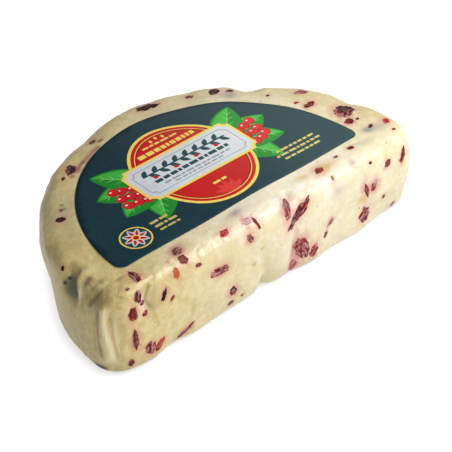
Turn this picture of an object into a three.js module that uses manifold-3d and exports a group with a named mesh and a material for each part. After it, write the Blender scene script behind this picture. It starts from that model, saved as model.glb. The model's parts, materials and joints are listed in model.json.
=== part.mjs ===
// Half a wheel of soft white cheese with cranberries, shrink-wrapped, with a half-round paper label on top.
// Millimetres. X runs along the straight cut face, which looks towards -Y. The rim is towards +Y; Z is up.
import * as THREE from 'three';
import { mergeVertices } from 'three/addons/utils/BufferGeometryUtils.js';
import Module from 'manifold-3d';

const wasm = await Module();
wasm.setup();

// The half wheel. Width and depth are those of the slightly bulging sides at half height.
const width = 215;
const depth = 125;
const height = 46;
const bulge = 2.9;              // how far the pressed sides swell at half height
const crown = 1.5;              // how far the top swells in its middle
const cornerRadius = 13;        // in plan, where the cut face meets the rim
const cutEdgeRadius = 9;        // top edge of the cut face
const rimEdgeRadius = 7;        // top edge of the rim
const footRadius = 2.5;         // lower edge all round
const unevenness = 0.35;        // height of the slow waves of the hand-wrapped surface
const middle = [0, -8];         // the point in plan where the rings of the flat faces close

// How finely the half wheel is faceted.
const facets = { cutFace: 36, corner: 4, rim: 44, base: 1, foot: 2, wall: 7, edge: 4, top: 6 };

// Paper label: a smaller half disc that follows the top.
const labelWidth = 162;
const labelDepth = 87;
const labelCorner = 5;
const labelShift = [-4.2, -44];  // middle of its straight edge
const labelThickness = 0.45;
const labelGap = 0.4;            // film and air between the paper and the cheese
const labelFacets = { straight: 12, corner: 2, round: 30, rings: 4 };

// Dents (lift below 0) and swellings: where, how far they reach along each axis, and their height.
const dents = [
  { at: [-94, 8, 12], reach: [20, 22, 16], lift: -3.0 },      // the rim's foot tucks in at the left
  { at: [-7, -60, 0], reach: [4, 12, 10], lift: -3.2 },       // notch at the foot of the cut face
  { at: [2, -60, 20], reach: [8, 12, 24], lift: 1.5 },        // lobe beside the notch
  { at: [25, -60, 0], reach: [13, 12, 12], lift: 2.4 },       // foot of the cut face, pressed out
  { at: [60, -60, 0], reach: [15, 12, 10], lift: 2.2 },
  { at: [-54, -60, 0], reach: [9, 12, 9], lift: 1.6 },
  { at: [-82, -60, 0], reach: [8, 12, 9], lift: 2.0 },
  { at: [67, 32, 46], reach: [8, 9, 12], lift: -3.0 },        // dip in the far shoulder
  { at: [-31, 54, 46], reach: [17, 11, 12], lift: -2.0 },
  { at: [97, -18, 46], reach: [7, 8, 10], lift: -1.4 },
  { at: [-105, -47, 44], reach: [6, 7, 7], lift: -2.4 },      // shallow hollow at the left corner
  { at: [-81, -61, 39], reach: [5, 8, 4], lift: -1.4 },
];

// Pits, folds and pleats of the wrapped skin: from, to, half width and height.
const folds = [
  { from: [-101, -26, 44], to: [-106, -35, 35], reach: 4.6, lift: -4.2 },   // deep pit in the left shoulder
  { from: [-99, -34, 46], to: [-107, -40, 28], reach: 2.2, lift: 2.0 },     // pleat beside the pit
  { from: [-104, -54, 39], to: [-104, -55, 10], reach: 2.6, lift: 1.6 },    // pleats down the left corner
  { from: [-107, -49, 38], to: [-107, -48, 10], reach: 2.6, lift: -1.5 },
  { from: [-99, -60, 34], to: [-99, -60, 12], reach: 2.2, lift: 1.2 },
  { from: [13, -54, 45], to: [11, -62, 2], reach: 2.6, lift: -2.2 },        // upright crease in the cut face
  { from: [-10, -62, 26], to: [-8, -61, 2], reach: 3.0, lift: -1.3 },
  { from: [20, -60, 42], to: [80, -60, 43], reach: 4.0, lift: 0.9 },        // taut film along the front edge
];

// Cranberries that lie in the surface: place, length and width, and turn in degrees from the X axis.
const berries = [
  { at: [15, -62, 38], size: [20, 6], turn: 39, tone: 'dark' },      // cut face, right of the crease
  { at: [8, -59, 42.5], size: [14, 5.2], turn: 78, tone: 'pale' },
  { at: [17, -62, 14], size: [15, 8], turn: 106, tone: 'dark' },
  { at: [25.5, -61.5, 8.5], size: [7.2, 6.4], turn: 60, tone: 'dark' },
  { at: [12, -61, 5], size: [7, 4], turn: 62, tone: 'pale' },
  { at: [64, -62, 11], size: [10, 7.5], turn: 70, tone: 'dark' },
  { at: [64, -62, 27], size: [10, 3.2], turn: 105, tone: 'red' },
  { at: [69.5, -62, 27], size: [6.5, 4], turn: 60, tone: 'dark' },
  { at: [92, -61, 36], size: [10, 3.2], turn: 60, tone: 'red' },
  { at: [80, -61, 36], size: [4.6, 4], turn: 30, tone: 'red' },
  { at: [39, -51, 46], size: [6, 4.4], turn: 20, tone: 'red' },
  { at: [37.5, -62, 20], size: [5.4, 2.4], turn: 42, tone: 'dark' },
  { at: [-30, -55, 45.5], size: [5.6, 4.4], turn: 10, tone: 'red' },     // cut face, left of the crease
  { at: [-16, -56, 45], size: [6, 5], turn: 0, tone: 'pale' },
  { at: [-12, -58, 43.5], size: [8.5, 2], turn: 100, tone: 'red' },
  { at: [-18.5, -61, 39], size: [5.5, 4], turn: 120, tone: 'dark' },
  { at: [-57, -55.5, 45], size: [6, 5.2], turn: 110, tone: 'red' },
  { at: [-56, -50.5, 46], size: [6.5, 4.2], turn: 25, tone: 'pale' },
  { at: [-64, -59, 42.5], size: [6.4, 4.4], turn: 75, tone: 'red' },
  { at: [-39, -62, 31], size: [10.5, 6.2], turn: -8, tone: 'dark' },
  { at: [-74, -61, 36.5], size: [6.6, 2.6], turn: 63, tone: 'dark' },
  { at: [-30.5, -62, 13], size: [6.4, 5.4], turn: 135, tone: 'dark' },
  { at: [-60, -61, 7], size: [11, 2.2], turn: 33, tone: 'pale' },
  { at: [-83, -51, 46], size: [7.8, 4.8], turn: 90, tone: 'dark' },
  { at: [-93, -61, 35.5], size: [7.4, 5.6], turn: 95, tone: 'red' },
  { at: [-92.5, -62, 20.5], size: [12, 3.4], turn: 92, tone: 'pale' },
  { at: [-84, -61.5, 10], size: [7.5, 5.2], turn: 100, tone: 'dark' },
  { at: [-78, -61.5, 8.5], size: [7.2, 3.8], turn: 48, tone: 'red' },
  { at: [88, -22.5, 46.4], size: [12, 10.4], turn: 20, tone: 'dark' },   // top, outside the label
  { at: [82.5, -31.5, 46.4], size: [6, 4.6], turn: 0, tone: 'red' },
  { at: [77.5, -6.5, 46.6], size: [7, 4.2], turn: 10, tone: 'red' },
  { at: [13.5, 51, 46], size: [13, 4.6], turn: -10, tone: 'dark' },
  { at: [49, 38, 46], size: [6.4, 5], turn: 20, tone: 'dark' },
  { at: [-53, 34.5, 46.5], size: [8, 5.6], turn: 40, tone: 'dark' },
  { at: [-81.5, 5, 46.5], size: [5.4, 4.2], turn: 0, tone: 'dark' },
  { at: [97, -44, 45.5], size: [5, 4], turn: 45, tone: 'red' },
];

// Cranberries on the sides that the rule fills: the rim, away from the corners.
const scattered = {
  count: 14, seed: 2024, sides: [0.05, 0.72], heights: [9, 37],
  length: [5, 11], width: [3.4, 6.4], spacing: 6,
};

// Small bits of fruit, fused to the cheese: place, length and turn.
const crumbs = [
  { at: [67, -60, 41.5], length: 2.4, turn: 0 },
  { at: [64.5, -49, 46.3], length: 4.6, turn: -20 },
  { at: [53.5, -49, 46.4], length: 2.4, turn: 0 },
  { at: [41, -58, 43.5], length: 2.6, turn: 80 },
  { at: [78, -62, 15.5], length: 3, turn: 80 },
  { at: [88, -60.5, 4.5], length: 3.6, turn: 60 },
  { at: [34.5, -62, 13.5], length: 3.8, turn: 70 },
  { at: [-51, -60.5, 40.5], length: 3.2, turn: 0 },
  { at: [-69.5, -62, 32], length: 3, turn: 40 },
  { at: [-31.5, -61, 6], length: 4.2, turn: 8 },
  { at: [-24, -61, 6.5], length: 2.2, turn: 0 },
  { at: [-90.5, -55, 45], length: 2.6, turn: 0 },
  { at: [-87.5, -59, 42], length: 5, turn: 62 },
  { at: [-86.5, -61, 38.5], length: 3.6, turn: 0 },
  { at: [-86, -62, 32.5], length: 3.6, turn: 20 },
  { at: [-95, -60.5, 6.5], length: 5, turn: 84 },
  { at: [83, 5, 46.4], length: 7, turn: -30 },
  { at: [74, -0.5, 46.6], length: 3, turn: 0 },
  { at: [67.5, 15, 46.6], length: 2.4, turn: 0 },
  { at: [56, 33, 46.4], length: 4, turn: -30 },
  { at: [87.5, -42, 46.3], length: 4, turn: 15 },
  { at: [94.5, -52, 45.5], length: 2.2, turn: 0 },
  { at: [87, -33, 46.3], length: 2.4, turn: 0 },
  { at: [36, 43.5, 46.4], length: 5, turn: -20 },
  { at: [-28, 47.5, 46.4], length: 4.4, turn: 10 },
  { at: [-60, 31, 46.4], length: 3.2, turn: 40 },
  { at: [-77, 11, 46.4], length: 3, turn: 60 },
  { at: [-101.5, -20.5, 43], length: 2.2, turn: 0 },
];
const scatteredCrumbs = {
  count: 22, seed: 77, sides: [0.02, 0.75], heights: [6, 41], length: [2.2, 4.4], spacing: 3,
};

const crumbWidth = 0.62;         // as a share of its length
const proud = 0.55;              // how far fruit stands out of the cheese
const berryDepth = 0.42;         // how deep a berry goes in, as a share of its width
const pocketGap = 0.3;           // air between a berry and its pocket
const blendArea = 14;            // square of the distance over which surface points are averaged
const wrinkle = 0.13;            // depth of a dried berry's wrinkles, as a share of its size

const colours = { cheese: '#ece0b6', label: '#26464f', dark: '#5b1620', red: '#a3242a', pale: '#b06a74' };

// Plan outline of a half disc whose straight edge is at y = 0: points with their outward directions.
function halfDisc(halfWidth, across, corner, counts) {
  const points = [];
  const inner = halfWidth - corner;
  const add = (x, y, nx, ny) => {
    const length = Math.hypot(nx, ny);
    points.push({ x, y, nx: nx / length, ny: ny / length });
  };
  for (let i = 0; i < counts.straight; i++) {
    add(-inner + (2 * inner * i) / counts.straight, 0, 0, -1);
  }
  for (let i = 0; i < counts.corner; i++) {
    const angle = (Math.PI / 2) * (i / counts.corner - 1);
    add(inner + corner * Math.cos(angle), corner * (1 + Math.sin(angle)), Math.cos(angle), Math.sin(angle));
  }
  for (let i = 0; i < counts.round; i++) {
    const angle = (Math.PI * i) / counts.round;
    const radius = across - corner;
    const [c, s] = [Math.cos(angle), Math.sin(angle)];
    add(halfWidth * c, corner + radius * s, c / halfWidth, s / radius);
  }
  for (let i = 0; i < counts.corner; i++) {
    const angle = Math.PI * (1 + (0.5 * i) / counts.corner);
    add(-inner + corner * Math.cos(angle), corner * (1 + Math.sin(angle)), Math.cos(angle), Math.sin(angle));
  }
  return points;
}

const clamp = (value) => Math.min(1, Math.max(0, value));
const smooth = (low, high, value) => {
  const t = clamp((value - low) / (high - low));
  return t * t * (3 - 2 * t);
};

// How far the surface at a point stands out from the plain rounded half disc.
function relief([x, y, z]) {
  const swell = bulge * Math.max(0, (4 * z * (height - z)) / height ** 2);
  const dome = crown * smooth(0.5 * height, height, z) * Math.exp(-((x / 75) ** 2) - (y / 45) ** 2);
  const waves = Math.sin(x / 17 + z / 9) * Math.cos(y / 14 - x / 31) + 0.6 * Math.sin(y / 8 + z / 6 - x / 12);
  let lift = swell + dome + unevenness * waves;
  for (const dent of dents) {
    const far = [x, y, z].reduce((sum, value, i) => sum + ((value - dent.at[i]) / dent.reach[i]) ** 2, 0);
    lift += dent.lift * Math.exp(-far);
  }
  const point = new THREE.Vector3(x, y, z);
  for (const fold of folds) {
    const line = new THREE.Line3(new THREE.Vector3(...fold.from), new THREE.Vector3(...fold.to));
    const nearest = line.closestPointToPoint(point, true, new THREE.Vector3());
    lift += fold.lift * Math.exp(-((nearest.distanceTo(point) / fold.reach) ** 2));
  }
  return lift;
}

// A point of the half wheel: a place on the plan outline, a row of the profile, and its outward direction.
function surfacePoint(place, row) {
  const edge = rimEdgeRadius + (cutEdgeRadius - rimEdgeRadius) * smooth(0, -0.95, place.ny);
  const radius = row.part === 'foot' || row.part === 'base' ? footRadius : edge;
  const inset = row.part === 'wall' ? 0 : radius * (1 - Math.cos(row.tilt));
  const rise = {
    base: 0,
    foot: footRadius * (1 + Math.sin(row.tilt)),
    wall: footRadius + (height - edge - footRadius) * row.share,
    edge: height - edge * (1 - Math.sin(row.tilt)),
    top: height,
  }[row.part];
  const shrink = row.shrink ?? 1;
  const x = middle[0] + (place.x - place.nx * inset - middle[0]) * shrink;
  const y = middle[1] + (place.y - place.ny * inset - middle[1]) * shrink;
  const out = row.tilt > 0 ? [Math.cos(row.tilt), Math.sin(row.tilt)] : [shrink, 0];
  const direction = new THREE.Vector3(place.nx * out[0], place.ny * out[0], out[1]);
  const point = new THREE.Vector3(x, y, rise);
  return { point: point.addScaledVector(direction, relief([x, y, rise])), direction };
}

function profileRows() {
  const rows = [];
  const quarter = Math.PI / 2;
  const { base } = facets;
  for (let i = 1; i <= base; i++) rows.push({ part: 'base', tilt: -quarter, shrink: i / (base + 1) });
  for (let i = 0; i < facets.foot; i++) rows.push({ part: 'foot', tilt: quarter * (i / facets.foot - 1) });
  for (let i = 0; i < facets.wall; i++) rows.push({ part: 'wall', tilt: 0, share: i / facets.wall });
  for (let i = 0; i < facets.edge; i++) rows.push({ part: 'edge', tilt: (quarter * i) / facets.edge });
  for (let i = 0; i < facets.top; i++) rows.push({ part: 'top', tilt: quarter, shrink: 1 - i / facets.top });
  return rows;
}

const outline = halfDisc(width / 2 - bulge, depth - 2 * bulge, cornerRadius,
  { straight: facets.cutFace, corner: facets.corner, round: facets.rim });
for (const place of outline) place.y -= depth / 2 - bulge;

// Closed skin over rows of rings, each ring a list of points, with one point closing each end.
function skin(rings, first, last) {
  const around = rings[0].length;
  const points = [first, ...rings.flat(), last];
  const index = [];
  const at = (row, i) => 1 + row * around + (i % around);
  for (let i = 0; i < around; i++) {
    index.push(0, at(0, i + 1), at(0, i));
    index.push(points.length - 1, at(rings.length - 1, i), at(rings.length - 1, i + 1));
    for (let row = 0; row + 1 < rings.length; row++) {
      index.push(at(row, i), at(row, i + 1), at(row + 1, i + 1));
      index.push(at(row, i), at(row + 1, i + 1), at(row + 1, i));
    }
  }
  const geometry = new THREE.BufferGeometry().setFromPoints(points);
  geometry.setIndex(index);
  return geometry;
}

function wheelGeometry() {
  const rings = profileRows().map((row) => outline.map((place) => surfacePoint(place, row).point));
  const top = new THREE.Vector3(...middle, height + relief([...middle, height]));
  return skin(rings, new THREE.Vector3(...middle, 0), top);
}

// The spot on the surface under or over a place, with its outward direction: a mean over the surface's own
// points nearby, each weighed by how near it is. Using the mean of both directions keeps it true on curves.
const wheelSpots = profileRows().filter((row) => row.part !== 'base')
  .flatMap((row) => outline.map((place) => surfacePoint(place, row)));
for (const spot of wheelSpots) spot.direction.normalize();
function spotNear(place) {
  const target = new THREE.Vector3(...place);
  const weightOf = (spot) => Math.exp(-spot.point.distanceToSquared(target) / blendArea);
  const near = wheelSpots.map((spot) => ({ spot, weight: weightOf(spot) }))
    .filter((entry) => entry.weight > 1e-9);
  const direction = new THREE.Vector3();
  for (const { spot, weight } of near) direction.addScaledVector(spot.direction, weight);
  direction.normalize();
  let [off, total] = [0, 0];
  for (const { spot, weight } of near) {
    const between = new THREE.Vector3().subVectors(target, spot.point);
    off += weight * between.dot(new THREE.Vector3().addVectors(spot.direction, direction)) / 2;
    total += weight;
  }
  return { point: target.addScaledVector(direction, -off / total), direction };
}

// Repeatable random numbers from 0 to 1.
function randomFrom(seed) {
  let state = seed;
  return () => {
    state = (state * 16807) % 2147483647;
    return state / 2147483647;
  };
}

// Places on the rim drawn by a rule, none nearer to another than the spacing allows.
function scatter(rule) {
  const random = randomFrom(rule.seed);
  const between = ([low, high]) => low + (high - low) * random();
  const found = [];
  while (found.length < rule.count) {
    const angle = Math.PI * between(rule.sides);
    const z = between(rule.heights);
    const length = between(rule.length);
    const turn = 180 * random();
    const y = -depth / 2 + cornerRadius + (depth - cornerRadius) * Math.sin(angle);
    const spot = spotNear([(width / 2) * Math.cos(angle), y, z]);
    const clear = [...found, ...berrySpots].every((other) =>
      other.point.distanceTo(spot.point) > (other.length + length) / 2 + rule.spacing);
    const breadth = rule.width ? between(rule.width) : length * crumbWidth;
    if (clear) found.push({ ...spot, length, width: Math.min(breadth, length), turn });
  }
  return found;
}

const berrySpots = [];
for (const berry of berries) {
  berrySpots.push({ ...spotNear(berry.at), length: berry.size[0], width: berry.size[1], ...berry });
}
const rimTones = ['dark', 'red', 'dark', 'pale'];
scatter(scattered).forEach((spot, i) => berrySpots.push({ ...spot, tone: rimTones[i % rimTones.length] }));

const crumbSpots = crumbs.map((crumb) =>
  ({ ...spotNear(crumb.at), length: crumb.length, width: crumb.length * crumbWidth, turn: crumb.turn }));
crumbSpots.push(...scatter(scatteredCrumbs));

// A flattened wrinkled lump lying in the surface at a spot, grown all round by a margin.
function lumpGeometry(spot, sides, deep, seed, margin = 0) {
  const geometry = new THREE.SphereGeometry(1, sides, sides / 2).rotateX(Math.PI / 2);
  const side = Math.abs(spot.direction.x) > 0.9 ? new THREE.Vector3(0, 1, 0) : new THREE.Vector3(1, 0, 0);
  const across = new THREE.Vector3().crossVectors(spot.direction, side).normalize();
  const along = new THREE.Vector3().crossVectors(across, spot.direction);
  const turn = THREE.MathUtils.degToRad(spot.turn);
  const long = along.clone().multiplyScalar(Math.cos(turn)).addScaledVector(across, Math.sin(turn));
  const wide = new THREE.Vector3().crossVectors(spot.direction, long);
  const position = geometry.attributes.position;
  const p = new THREE.Vector3();
  for (let i = 0; i < position.count; i++) {
    p.fromBufferAttribute(position, i);
    const fold = Math.sin(4.1 * p.x + 3 * p.z + seed) * Math.cos(5.3 * p.y - seed);
    const size = 1 + wrinkle * fold;
    const [a, b] = [spot.length / 2, spot.width / 2].map((half) => half * size + margin);
    const c = p.z > 0 ? proud + margin : deep + margin;
    const flat = spot.point.clone().addScaledVector(long, p.x * a).addScaledVector(wide, p.y * b);
    const under = spotNear(flat.toArray());
    const placed = under.point.addScaledVector(under.direction, p.z * c);
    position.setXYZ(i, placed.x, placed.y, placed.z);
  }
  return geometry;
}

function solidFrom(geometry) {
  const bare = geometry.clone();
  bare.deleteAttribute('normal');
  bare.deleteAttribute('uv');
  const merged = mergeVertices(bare, 1e-4);
  return new wasm.Manifold(new wasm.Mesh({
    numProp: 3,
    vertProperties: new Float32Array(merged.attributes.position.array),
    triVerts: new Uint32Array(merged.index.array),
  }));
}

function geometryFrom(solid) {
  const mesh = solid.getMesh();
  const geometry = new THREE.BufferGeometry();
  geometry.setAttribute('position', new THREE.BufferAttribute(new Float32Array(mesh.vertProperties), 3));
  geometry.setIndex(new THREE.BufferAttribute(new Uint32Array(mesh.triVerts), 1));
  return geometry;
}

const berrySides = (spot) => (spot.length * spot.width > 60 ? 10 : 8);

function cheeseGeometry() {
  let cheese = solidFrom(wheelGeometry());
  crumbSpots.forEach((spot, i) => {
    cheese = cheese.add(solidFrom(lumpGeometry(spot, 6, 0.5 * spot.width, i)));
  });
  berrySpots.forEach((spot, i) => {
    const pocket = lumpGeometry(spot, berrySides(spot), berryDepth * spot.width, i, pocketGap);
    cheese = cheese.subtract(solidFrom(pocket));
  });
  const pieces = cheese.decompose().sort((a, b) => b.volume() - a.volume());
  return geometryFrom(pieces[0]);   // a crumb cut off by a pocket is dropped
}

// The label's two faces are the same half disc, one paper thickness apart, draped over the top.
function labelGeometry() {
  const { straight, corner, round, rings } = labelFacets;
  const edge = halfDisc(labelWidth / 2, labelDepth, labelCorner, { straight, corner, round });
  const centre = [0, 0.45 * labelDepth];
  const face = (share, lift) => edge.map((place) => {
    const x = labelShift[0] + centre[0] + (place.x - centre[0]) * share;
    const y = labelShift[1] + centre[1] + (place.y - centre[1]) * share;
    return new THREE.Vector3(x, y, height + relief([x, y, height]) + lift);
  });
  const under = labelGap;
  const over = labelGap + labelThickness;
  const faces = [];
  for (let i = 1; i <= rings; i++) faces.push(face(i / rings, under));
  for (let i = rings; i >= 1; i--) faces.push(face(i / rings, over));
  const hub = [labelShift[0] + centre[0], labelShift[1] + centre[1]];
  const hubAt = (lift) => new THREE.Vector3(...hub, height + relief([...hub, height]) + lift);
  return skin(faces, hubAt(under), hubAt(over));
}

function meshOf(name, geometry, colour, roughness) {
  const material = new THREE.MeshStandardMaterial({ color: colour, roughness, metalness: 0 });
  geometry.computeVertexNormals();
  const mesh = new THREE.Mesh(geometry, material);
  mesh.name = name;
  return mesh;
}

const group = new THREE.Group();
group.add(meshOf('cheese', cheeseGeometry(), colours.cheese, 0.35));
group.add(meshOf('label', labelGeometry(), colours.label, 0.45));
berrySpots.forEach((spot, i) => {
  const name = `berry_${String(i + 1).padStart(2, '0')}`;
  const geometry = lumpGeometry(spot, berrySides(spot), berryDepth * spot.width, i);
  group.add(meshOf(name, geometry, colours[spot.tone], 0.4));
});

// The origin is the middle of the base.
const box = new THREE.Box3().setFromObject(group);
group.position.set(-(box.min.x + box.max.x) / 2, -(box.min.y + box.max.y) / 2, -box.min.z);
group.updateMatrixWorld(true);

export default group;
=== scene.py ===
import json
import math
import bpy
import numpy as np
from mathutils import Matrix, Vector
from mathutils.geometry import delaunay_2d_cdt


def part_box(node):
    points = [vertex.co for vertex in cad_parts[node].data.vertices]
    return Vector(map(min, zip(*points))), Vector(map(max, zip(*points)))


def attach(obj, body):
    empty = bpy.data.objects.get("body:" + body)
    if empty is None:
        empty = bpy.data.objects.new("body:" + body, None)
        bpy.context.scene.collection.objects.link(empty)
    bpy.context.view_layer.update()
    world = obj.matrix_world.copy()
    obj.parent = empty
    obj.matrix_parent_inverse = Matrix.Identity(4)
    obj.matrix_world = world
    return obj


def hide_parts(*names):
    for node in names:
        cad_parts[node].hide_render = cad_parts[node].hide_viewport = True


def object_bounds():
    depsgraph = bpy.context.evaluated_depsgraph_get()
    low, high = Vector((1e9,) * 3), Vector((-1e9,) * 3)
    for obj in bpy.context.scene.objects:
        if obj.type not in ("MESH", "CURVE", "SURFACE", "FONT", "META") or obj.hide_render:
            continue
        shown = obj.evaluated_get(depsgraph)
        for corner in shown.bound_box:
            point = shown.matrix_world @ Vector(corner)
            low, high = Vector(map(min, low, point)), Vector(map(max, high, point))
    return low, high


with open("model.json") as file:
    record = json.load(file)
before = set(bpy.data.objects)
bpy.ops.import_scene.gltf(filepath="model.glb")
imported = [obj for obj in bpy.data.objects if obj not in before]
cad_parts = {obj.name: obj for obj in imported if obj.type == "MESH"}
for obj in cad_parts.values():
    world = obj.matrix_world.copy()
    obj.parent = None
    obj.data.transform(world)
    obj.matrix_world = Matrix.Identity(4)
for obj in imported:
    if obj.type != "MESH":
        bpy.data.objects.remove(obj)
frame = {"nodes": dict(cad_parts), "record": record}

cadLow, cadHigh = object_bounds()
mm = 0.001  # lengths below are millimetres until they go into a mesh

# The camera stands where the photograph was taken from.
cameraPlace = {"azimuth": -43.03, "elevation": 38.2, "distance": 714.6, "lookAt": (-8.2, -32.9, 25.0),
               "lens": 113.0, "sensor": 36}

# The half wheel, in the same sizes as its solid.
wheel = {
    "width": 215, "depth": 125, "height": 46,
    "bulge": 2.9,  # swelling of the sides at half height
    "crown": 1.5, "crownReach": (75, 45),  # dome on the top
    "corner": 13, "cutEdge": 9, "rimEdge": 7, "foot": 2.5,  # radii
    "unevenness": 0.35,  # height of the slow waves
    "middle": (0, -8),  # where the rows of the base and the top close
    "around": {"straight": 190, "corner": 30, "round": 236},  # points round the outline
    "rows": {"base": 8, "foot": 8, "wall": 64, "edge": 30, "top": 80},
    "crowding": 0.45,  # the rim's points crowd towards the two corners
}

# Dents and swellings, each a Gaussian: where, how far it reaches along each axis, and its height.
dents = [
    ((-94, 8, 12), (20, 22, 16), -3.0),  # the rim's foot tucks in at the left
    ((-7, -60, 0), (4, 12, 10), -3.2),  # notch at the foot of the cut face
    ((2, -60, 20), (8, 12, 24), 1.5),  # lobe beside the notch
    ((25, -60, 0), (13, 12, 12), 2.4),  # foot of the cut face, pressed out
    ((60, -60, 0), (15, 12, 10), 2.2),
    ((-54, -60, 0), (9, 12, 9), 1.6),
    ((-82, -60, 0), (8, 12, 9), 2.0),
    ((67, 32, 46), (8, 9, 12), -3.0),  # dip in the far shoulder
    ((-31, 54, 46), (17, 11, 12), -2.0),
    ((97, -18, 46), (7, 8, 10), -1.4),
    ((-105, -47, 44), (6, 7, 7), -2.4),  # shallow hollow at the left corner
    ((-81, -61, 39), (5, 8, 4), -1.4),
]

# Pits, folds and pleats of the wrapped skin: from, to, half width and height.
folds = [
    ((-101, -26, 44), (-106, -35, 35), 4.6, -4.2),  # deep pit in the left shoulder
    ((-99, -34, 46), (-107, -40, 28), 2.2, 2.0),  # pleat beside the pit
    ((-104, -54, 39), (-104, -55, 10), 2.6, 1.6),  # pleats down the left corner
    ((-107, -49, 38), (-107, -48, 10), 2.6, -1.5),
    ((-99, -60, 34), (-99, -60, 12), 2.2, 1.2),
    ((13, -54, 45), (11, -62, 2), 2.6, -2.2),  # upright crease in the cut face
    ((-10, -62, 26), (-8, -61, 2), 3.0, -1.3),
    ((20, -60, 42), (80, -60, 43), 4.0, 0.9),  # taut film along the front edge
]

# Finer folds of the film in the same form, too slight for the solid.
pleats = [
    ((-98, -31, 46), (-105, -37, 41), 1.1, 0.9),  # sharp lip of the pit
    ((-105, -37, 41), (-107, -37.5, 28), 1.2, 0.8),
    ((-100, -40, 46), (-106, -43, 36), 1.3, 0.7),
    ((-100, -36.5, 46), (-106, -40, 36), 1.2, -0.7),
    ((-103.9, -53.2, 40), (-104.2, -55.6, 28), 1.3, 1.5),
    ((-104.2, -55.6, 28), (-102.2, -57.6, 12), 1.3, 1.3),
    ((-102.4, -57.2, 36), (-101.2, -58.7, 13), 1.1, -1.0),
    ((-99.9, -59.2, 35), (-99.2, -60.4, 14), 1.2, 0.9),
    ((-105.6, -51.4, 37), (-106, -52.8, 14), 1.2, -1.1),
    ((-98, -60.5, 30), (-97.6, -61, 16), 1.2, -0.5),
    ((-107, -46.5, 33), (-108, -47, 20), 1.1, 0.6),
    ((-107, -44, 34), (-108, -44, 12), 1.6, 0.6),
    ((-107.5, -33, 26), (-106, -31, 6), 1.8, 0.5),
    ((-79.9, -58.4, 43.8), (-84.4, -61, 39.2), 1.1, -0.9),  # flap of cheese on the cut face
    ((-84.4, -61, 39.2), (-81.9, -61.5, 33), 1.1, -0.9),
    ((-81.9, -61.5, 33), (-78.4, -62, 21), 0.9, -0.6),
    ((-76, -61, 42), (-79.5, -62, 30), 1.6, 0.9),
    ((12, -60, 34), (9.5, -62, 3), 1.2, -0.8),  # floor of the upright crease
    ((-13, -61, 30), (-12, -62, 12), 1.4, -0.5),
    ((-8, -62, 12), (-7.4, -62, 1), 1.0, -1.0),
    ((-92, 3, 43.5), (-99.5, -9, 39), 1.2, 0.8),  # film standing along the left edge
    ((-84, 18, 43), (-92, 3, 43.5), 1.2, 0.8),
    ((-100, -9, 38), (-104, -15, 24), 1.3, 0.7),
]


def smoothStep(low, high, value):
    t = np.clip((value - low) / (high - low), 0, 1)
    return t * t * (3 - 2 * t)


# Half disc in plan with its straight edge at y = 0: straight edge, corner arc, half ellipse, corner arc.
# Crowding moves the half ellipse's points towards its two ends by a sine of the way round. Each point comes
# with its outward direction.
def halfDisc(halfWidth, across, corner, counts, crowding=0.0):
    inner = halfWidth - corner
    share = [np.arange(counts[part]) / counts[part] for part in ("straight", "corner", "round", "corner")]
    line = np.stack([-inner + 2 * inner * share[0], 0 * share[0], 0 * share[0], 0 * share[0] - 1])
    right, left = np.pi / 2 * (share[1] - 1), np.pi * (1 + share[3] / 2)
    far = np.pi * (share[2] - crowding * np.sin(2 * np.pi * share[2]) / (2 * np.pi))

    def arc(a, side):
        return np.stack([side * inner + corner * np.cos(a), corner * (1 + np.sin(a)), np.cos(a), np.sin(a)])

    radius = across - corner
    slope = np.hypot(np.cos(far) / halfWidth, np.sin(far) / radius)
    bow = np.stack([halfWidth * np.cos(far), corner + radius * np.sin(far),
                    np.cos(far) / halfWidth / slope, np.sin(far) / radius / slope])
    return np.concatenate([line, arc(right, 1), bow, arc(left, -1)], axis=1)


def distanceToLine(points, start, end):
    start, end = np.array(start, float), np.array(end, float)
    along = end - start
    share = np.clip((points - start) @ along / (along @ along), 0, 1)
    return np.linalg.norm(points - start - share[..., None] * along, axis=-1)


# Sum of Gaussians of the distance to each line of a list.
def creased(points, lines):
    lift = np.zeros(points.shape[:-1])
    for start, end, reach, height in lines:
        lift += height * np.exp(-(distanceToLine(points, start, end) / reach) ** 2)
    return lift


# Squared distance to a place, counted in its reach along each axis. An endless reach leaves an axis out.
def farFrom(points, at, reach):
    return sum(((points[..., i] - at[i]) / reach[i]) ** 2 for i in range(3))


# How far the surface stands out from the plain rounded half disc: a swell at half height, a dome on top,
# slow waves, a Gaussian for each dent, and a Gaussian of the distance to a line for each fold.
def relief(points):
    x, y, z = points[..., 0], points[..., 1], points[..., 2]
    height = wheel["height"]
    lift = wheel["bulge"] * np.clip(4 * z * (height - z) / height ** 2, 0, None)
    reachX, reachY = wheel["crownReach"]
    dome = np.exp(-(x / reachX) ** 2 - (y / reachY) ** 2)
    lift = lift + wheel["crown"] * smoothStep(height / 2, height, z) * dome
    waves = np.sin(x / 17 + z / 9) * np.cos(y / 14 - x / 31) + 0.6 * np.sin(y / 8 + z / 6 - x / 12)
    lift = lift + wheel["unevenness"] * waves
    for at, reach, rise in dents:
        lift = lift + rise * np.exp(-farFrom(points, at, reach))
    return lift + creased(points, folds)


# Smooth noise of a given grain: a sum of sine waves that run in random directions.
def ripples(points, grain, count, seed):
    rng = np.random.default_rng(seed)
    ways = rng.normal(size=(count, 3))
    ways *= (2 * np.pi / grain * rng.uniform(0.6, 1.5, count) / np.linalg.norm(ways, axis=1))[:, None]
    phase = rng.uniform(0, 2 * np.pi, count)
    total = sum(np.sin(points @ way + start) for way, start in zip(ways, phase))
    return total * math.sqrt(2 / count)


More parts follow.
